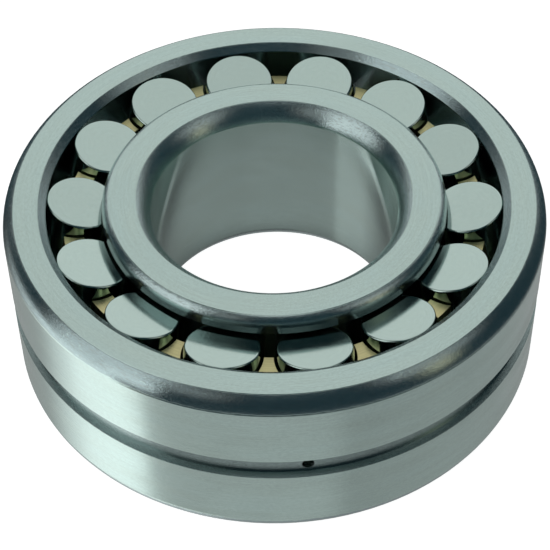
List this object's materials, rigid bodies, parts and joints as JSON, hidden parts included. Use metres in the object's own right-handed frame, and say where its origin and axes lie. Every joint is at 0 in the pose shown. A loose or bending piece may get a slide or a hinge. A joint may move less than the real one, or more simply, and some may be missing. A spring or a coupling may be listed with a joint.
{
  "type": "spherical roller bearing",
  "caption": "Spherical roller bearing: barrel rollers in a spherical raceway, pronged brass cage, plain round bore, oil groove with feed holes round the outer ring.",
  "frame": {"origin": "bearing centre, on the bearing axis at the middle plane, which is also the centre of the spherical raceway", "axes": "+Z along the bearing axis; the first roller of the upper row lies 2.2 degrees short of +X"},
  "size_m": [0.12, 0.12, 0.043],
  "materials": {
    "outer_ring_steel": "ground faces and outside, turned edges and groove",
    "inner_ring_steel": "ground faces, bore and raceways, turned edges",
    "guide_ring_steel": "turned",
    "roller_steel": "fine ground",
    "cage_brass": "machined"
  },
  "bodies": {
    "outer_ring": {"outer_ring": "outer_ring_steel"},
    "guide_ring": {"guide_ring": "guide_ring_steel"},
    "inner_ring": {"inner_ring": "inner_ring_steel"},
    "cage": {"cage": "cage_brass"},
    "roller_upper_01": {"roller_upper_01": "roller_steel"},
    "roller_upper_02": {"roller_upper_02": "roller_steel"},
    "roller_upper_03": {"roller_upper_03": "roller_steel"},
    "roller_upper_04": {"roller_upper_04": "roller_steel"},
    "roller_upper_05": {"roller_upper_05": "roller_steel"},
    "roller_upper_06": {"roller_upper_06": "roller_steel"},
    "roller_upper_07": {"roller_upper_07": "roller_steel"},
    "roller_upper_08": {"roller_upper_08": "roller_steel"},
    "roller_upper_09": {"roller_upper_09": "roller_steel"},
    "roller_upper_10": {"roller_upper_10": "roller_steel"},
    "roller_upper_11": {"roller_upper_11": "roller_steel"},
    "roller_upper_12": {"roller_upper_12": "roller_steel"},
    "roller_upper_13": {"roller_upper_13": "roller_steel"},
    "roller_upper_14": {"roller_upper_14": "roller_steel"},
    "roller_lower_01": {"roller_lower_01": "roller_steel"},
    "roller_lower_02": {"roller_lower_02": "roller_steel"},
    "roller_lower_03": {"roller_lower_03": "roller_steel"},
    "roller_lower_04": {"roller_lower_04": "roller_steel"},
    "roller_lower_05": {"roller_lower_05": "roller_steel"},
    "roller_lower_06": {"roller_lower_06": "roller_steel"},
    "roller_lower_07": {"roller_lower_07": "roller_steel"},
    "roller_lower_08": {"roller_lower_08": "roller_steel"},
    "roller_lower_09": {"roller_lower_09": "roller_steel"},
    "roller_lower_10": {"roller_lower_10": "roller_steel"},
    "roller_lower_11": {"roller_lower_11": "roller_steel"},
    "roller_lower_12": {"roller_lower_12": "roller_steel"},
    "roller_lower_13": {"roller_lower_13": "roller_steel"},
    "roller_lower_14": {"roller_lower_14": "roller_steel"}
  },
  "joints": [
    {"name": "swivel", "type": "hinge", "parent": "outer_ring", "child": "guide_ring", "pos_m": [0, 0, 0], "axis": [1, 0, 0], "range_deg": [-2, 2]},
    {"name": "inner_ring_spin", "type": "hinge", "parent": "guide_ring", "child": "inner_ring", "pos_m": [0, 0, 0], "axis": [0, 0, 1], "continuous": true},
    {"name": "cage_spin", "type": "hinge", "parent": "guide_ring", "child": "cage", "pos_m": [0, 0, 0], "axis": [0, 0, 1], "continuous": true},
    {"name": "roller_upper_01_spin", "type": "hinge", "parent": "cage", "child": "roller_upper_01", "pos_m": [0.04438, -0.0017, 0.01083], "axis": [-0.2367, 0.0091, 0.9715], "continuous": true},
    {"name": "roller_upper_02_spin", "type": "hinge", "parent": "cage", "child": "roller_upper_02", "pos_m": [0.04072, 0.01772, 0.01083], "axis": [-0.2172, -0.0945, 0.9715], "continuous": true},
    {"name": "roller_upper_03_spin", "type": "hinge", "parent": "cage", "child": "roller_upper_03", "pos_m": [0.029, 0.03363, 0.01083], "axis": [-0.1547, -0.1794, 0.9715], "continuous": true},
    {"name": "roller_upper_04_spin", "type": "hinge", "parent": "cage", "child": "roller_upper_04", "pos_m": [0.01154, 0.04288, 0.01083], "axis": [-0.0615, -0.2287, 0.9715], "continuous": true},
    {"name": "roller_upper_05_spin", "type": "hinge", "parent": "cage", "child": "roller_upper_05", "pos_m": [-0.00821, 0.04364, 0.01083], "axis": [0.0438, -0.2328, 0.9715], "continuous": true},
    {"name": "roller_upper_06_spin", "type": "hinge", "parent": "cage", "child": "roller_upper_06", "pos_m": [-0.02634, 0.03576, 0.01083], "axis": [0.1404, -0.1907, 0.9715], "continuous": true},
    {"name": "roller_upper_07_spin", "type": "hinge", "parent": "cage", "child": "roller_upper_07", "pos_m": [-0.03924, 0.02079, 0.01083], "axis": [0.2093, -0.1109, 0.9715], "continuous": true},
    {"name": "roller_upper_08_spin", "type": "hinge", "parent": "cage", "child": "roller_upper_08", "pos_m": [-0.04438, 0.0017, 0.01083], "axis": [0.2367, -0.0091, 0.9715], "continuous": true},
    {"name": "roller_upper_09_spin", "type": "hinge", "parent": "cage", "child": "roller_upper_09", "pos_m": [-0.04072, -0.01772, 0.01083], "axis": [0.2172, 0.0945, 0.9715], "continuous": true},
    {"name": "roller_upper_10_spin", "type": "hinge", "parent": "cage", "child": "roller_upper_10", "pos_m": [-0.029, -0.03363, 0.01083], "axis": [0.1547, 0.1794, 0.9715], "continuous": true},
    {"name": "roller_upper_11_spin", "type": "hinge", "parent": "cage", "child": "roller_upper_11", "pos_m": [-0.01154, -0.04288, 0.01083], "axis": [0.0615, 0.2287, 0.9715], "continuous": true},
    {"name": "roller_upper_12_spin", "type": "hinge", "parent": "cage", "child": "roller_upper_12", "pos_m": [0.00821, -0.04364, 0.01083], "axis": [-0.0438, 0.2328, 0.9715], "continuous": true},
    {"name": "roller_upper_13_spin", "type": "hinge", "parent": "cage", "child": "roller_upper_13", "pos_m": [0.02634, -0.03576, 0.01083], "axis": [-0.1404, 0.1907, 0.9715], "continuous": true},
    {"name": "roller_upper_14_spin", "type": "hinge", "parent": "cage", "child": "roller_upper_14", "pos_m": [0.03924, -0.02079, 0.01083], "axis": [-0.2093, 0.1109, 0.9715], "continuous": true},
    {"name": "roller_lower_01_spin", "type": "hinge", "parent": "cage", "child": "roller_lower_01", "pos_m": [0.04364, 0.00821, -0.01083], "axis": [0.2328, 0.0438, 0.9715], "continuous": true},
    {"name": "roller_lower_02_spin", "type": "hinge", "parent": "cage", "child": "roller_lower_02", "pos_m": [0.03576, 0.02634, -0.01083], "axis": [0.1907, 0.1404, 0.9715], "continuous": true},
    {"name": "roller_lower_03_spin", "type": "hinge", "parent": "cage", "child": "roller_lower_03", "pos_m": [0.02079, 0.03924, -0.01083], "axis": [0.1109, 0.2093, 0.9715], "continuous": true},
    {"name": "roller_lower_04_spin", "type": "hinge", "parent": "cage", "child": "roller_lower_04", "pos_m": [0.0017, 0.04438, -0.01083], "axis": [0.0091, 0.2367, 0.9715], "continuous": true},
    {"name": "roller_lower_05_spin", "type": "hinge", "parent": "cage", "child": "roller_lower_05", "pos_m": [-0.01772, 0.04072, -0.01083], "axis": [-0.0945, 0.2172, 0.9715], "continuous": true},
    {"name": "roller_lower_06_spin", "type": "hinge", "parent": "cage", "child": "roller_lower_06", "pos_m": [-0.03363, 0.029, -0.01083], "axis": [-0.1794, 0.1547, 0.9715], "continuous": true},
    {"name": "roller_lower_07_spin", "type": "hinge", "parent": "cage", "child": "roller_lower_07", "pos_m": [-0.04288, 0.01154, -0.01083], "axis": [-0.2287, 0.0615, 0.9715], "continuous": true},
    {"name": "roller_lower_08_spin", "type": "hinge", "parent": "cage", "child": "roller_lower_08", "pos_m": [-0.04364, -0.00821, -0.01083], "axis": [-0.2328, -0.0438, 0.9715], "continuous": true},
    {"name": "roller_lower_09_spin", "type": "hinge", "parent": "cage", "child": "roller_lower_09", "pos_m": [-0.03576, -0.02634, -0.01083], "axis": [-0.1907, -0.1404, 0.9715], "continuous": true},
    {"name": "roller_lower_10_spin", "type": "hinge", "parent": "cage", "child": "roller_lower_10", "pos_m": [-0.02079, -0.03924, -0.01083], "axis": [-0.1109, -0.2093, 0.9715], "continuous": true},
    {"name": "roller_lower_11_spin", "type": "hinge", "parent": "cage", "child": "roller_lower_11", "pos_m": [-0.0017, -0.04438, -0.01083], "axis": [-0.0091, -0.2367, 0.9715], "continuous": true},
    {"name": "roller_lower_12_spin", "type": "hinge", "parent": "cage", "child": "roller_lower_12", "pos_m": [0.01772, -0.04072, -0.01083], "axis": [0.0945, -0.2172, 0.9715], "continuous": true},
    {"name": "roller_lower_13_spin", "type": "hinge", "parent": "cage", "child": "roller_lower_13", "pos_m": [0.03363, -0.029, -0.01083], "axis": [0.1794, -0.1547, 0.9715], "continuous": true},
    {"name": "roller_lower_14_spin", "type": "hinge", "parent": "cage", "child": "roller_lower_14", "pos_m": [0.04288, -0.01154, -0.01083], "axis": [0.2287, -0.0615, 0.9715], "continuous": true}
  ],
  "couplings": [
    {"joint": "cage_spin", "follows": "inner_ring_spin", "ratio": 0.40866},
    {"joint": "roller_upper_01_spin", "follows": "inner_ring_spin", "ratio": -2.5705},
    {"joint": "roller_upper_02_spin", "follows": "inner_ring_spin", "ratio": -2.5705},
    {"joint": "roller_upper_03_spin", "follows": "inner_ring_spin", "ratio": -2.5705},
    {"joint": "roller_upper_04_spin", "follows": "inner_ring_spin", "ratio": -2.5705},
    {"joint": "roller_upper_05_spin", "follows": "inner_ring_spin", "ratio": -2.5705},
    {"joint": "roller_upper_06_spin", "follows": "inner_ring_spin", "ratio": -2.5705},
    {"joint": "roller_upper_07_spin", "follows": "inner_ring_spin", "ratio": -2.5705},
    {"joint": "roller_upper_08_spin", "follows": "inner_ring_spin", "ratio": -2.5705},
    {"joint": "roller_upper_09_spin", "follows": "inner_ring_spin", "ratio": -2.5705},
    {"joint": "roller_upper_10_spin", "follows": "inner_ring_spin", "ratio": -2.5705},
    {"joint": "roller_upper_11_spin", "follows": "inner_ring_spin", "ratio": -2.5705},
    {"joint": "roller_upper_12_spin", "follows": "inner_ring_spin", "ratio": -2.5705},
    {"joint": "roller_upper_13_spin", "follows": "inner_ring_spin", "ratio": -2.5705},
    {"joint": "roller_upper_14_spin", "follows": "inner_ring_spin", "ratio": -2.5705},
    {"joint": "roller_lower_01_spin", "follows": "inner_ring_spin", "ratio": -2.5705},
    {"joint": "roller_lower_02_spin", "follows": "inner_ring_spin", "ratio": -2.5705},
    {"joint": "roller_lower_03_spin", "follows": "inner_ring_spin", "ratio": -2.5705},
    {"joint": "roller_lower_04_spin", "follows": "inner_ring_spin", "ratio": -2.5705},
    {"joint": "roller_lower_05_spin", "follows": "inner_ring_spin", "ratio": -2.5705},
    {"joint": "roller_lower_06_spin", "follows": "inner_ring_spin", "ratio": -2.5705},
    {"joint": "roller_lower_07_spin", "follows": "inner_ring_spin", "ratio": -2.5705},
    {"joint": "roller_lower_08_spin", "follows": "inner_ring_spin", "ratio": -2.5705},
    {"joint": "roller_lower_09_spin", "follows": "inner_ring_spin", "ratio": -2.5705},
    {"joint": "roller_lower_10_spin", "follows": "inner_ring_spin", "ratio": -2.5705},
    {"joint": "roller_lower_11_spin", "follows": "inner_ring_spin", "ratio": -2.5705},
    {"joint": "roller_lower_12_spin", "follows": "inner_ring_spin", "ratio": -2.5705},
    {"joint": "roller_lower_13_spin", "follows": "inner_ring_spin", "ratio": -2.5705},
    {"joint": "roller_lower_14_spin", "follows": "inner_ring_spin", "ratio": -2.5705}
  ]
}
